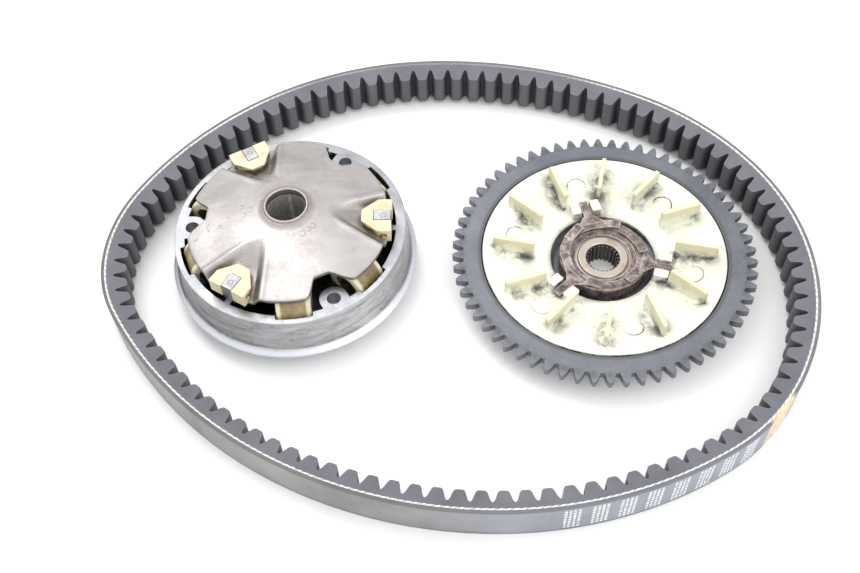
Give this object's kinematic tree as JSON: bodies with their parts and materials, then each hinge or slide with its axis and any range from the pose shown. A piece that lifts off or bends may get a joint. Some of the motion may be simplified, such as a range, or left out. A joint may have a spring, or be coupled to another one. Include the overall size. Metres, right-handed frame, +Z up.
{
  "type": "cvt pulley set",
  "caption": "Scooter drive set: a roller variator with ramp plate, a toothed drive face with fan and kick-start crown, and a cogged V-belt loop around both.",
  "frame": {"origin": "on the floor under the middle of the whole set's box", "axes": "+Z up along both pulley axes, +X from the variator towards the drive face, -Y towards the viewer"},
  "size_m": [0.2746, 0.2145, 0.04],
  "materials": {
    "belt_back": "matte with a cloth sheen",
    "cord": "twisted cord ends",
    "belt_rubber": "matte moulded rubber",
    "cast_aluminium": "cast, turned on the rim",
    "bronze": "machined",
    "ground_steel": "ground and worn",
    "pressed_steel": "satin, stained",
    "slider_plastic": "moulded, oil stained",
    "roller_nylon": "greased nylon",
    "dark_steel": "dark phosphate",
    "hub_steel": "turned, lightly rusted",
    "worn_steel": "forged, brown, worn edges",
    "fan_plastic": "moulded, grimy at the vanes"
  },
  "bodies": {
    "belt": {"belt_cover": "belt_back", "belt_cord": "cord", "belt_cogs": "belt_rubber"},
    "ramp_set": {"guide_tube": "ground_steel", "ramp_plate": "pressed_steel", "slider_guide_1": "slider_plastic", "slider_guide_2": "slider_plastic", "slider_guide_3": "slider_plastic"},
    "housing": {"variator_housing": "cast_aluminium", "variator_bush": "bronze"},
    "roller_1": {"roller_sleeve_1": "roller_nylon", "roller_weight_1": "bronze"},
    "roller_2": {"roller_sleeve_2": "roller_nylon", "roller_weight_2": "bronze"},
    "roller_3": {"roller_sleeve_3": "roller_nylon", "roller_weight_3": "bronze"},
    "roller_4": {"roller_sleeve_4": "roller_nylon", "roller_weight_4": "bronze"},
    "roller_5": {"roller_sleeve_5": "roller_nylon", "roller_weight_5": "bronze"},
    "roller_6": {"roller_sleeve_6": "roller_nylon", "roller_weight_6": "bronze"},
    "drive_face": {"fixed_face": "dark_steel", "spline_hub": "hub_steel", "fan": "fan_plastic", "fan_vanes": "fan_plastic", "kick_crown": "worn_steel", "hub_washer": "hub_steel"}
  },
  "joints": [
    {"name": "variator_spin", "type": "hinge", "parent": "belt", "child": "ramp_set", "pos_m": [-0.0629, 0.0107, 0], "axis": [0, 0, 1], "continuous": true},
    {"name": "housing_slide", "type": "slide", "parent": "ramp_set", "child": "housing", "axis": [0, 0, 1], "range_m": [0, 0.0079]},
    {"name": "roller_1_slide", "type": "slide", "parent": "housing", "child": "roller_1", "axis": [-0.6179, 0.5222, -0.5878], "range_m": [0, 0.0105]},
    {"name": "roller_2_slide", "type": "slide", "parent": "housing", "child": "roller_2", "axis": [-0.6723, -0.4501, -0.5878], "range_m": [0, 0.0105]},
    {"name": "roller_3_slide", "type": "slide", "parent": "housing", "child": "roller_3", "axis": [-0.1433, -0.7962, -0.5878], "range_m": [0, 0.0105]},
    {"name": "roller_4_slide", "type": "slide", "parent": "housing", "child": "roller_4", "axis": [0.7259, -0.3572, -0.5878], "range_m": [0, 0.0105]},
    {"name": "roller_5_slide", "type": "slide", "parent": "housing", "child": "roller_5", "axis": [0.7612, 0.274, -0.5878], "range_m": [0, 0.0105]},
    {"name": "roller_6_slide", "type": "slide", "parent": "housing", "child": "roller_6", "axis": [-0.0536, 0.8072, -0.5878], "range_m": [0, 0.0105]},
    {"name": "drive_face_spin", "type": "hinge", "parent": "belt", "child": "drive_face", "pos_m": [0.0584, 0.0018, 0], "axis": [0, 0, 1], "continuous": true}
  ],
  "couplings": [
    {"joint": "roller_1_slide", "follows": "housing_slide", "ratio": 1.304},
    {"joint": "roller_2_slide", "follows": "housing_slide", "ratio": 1.304},
    {"joint": "roller_3_slide", "follows": "housing_slide", "ratio": 1.304},
    {"joint": "roller_4_slide", "follows": "housing_slide", "ratio": 1.304},
    {"joint": "roller_5_slide", "follows": "housing_slide", "ratio": 1.304},
    {"joint": "roller_6_slide", "follows": "housing_slide", "ratio": 1.304}
  ]
}
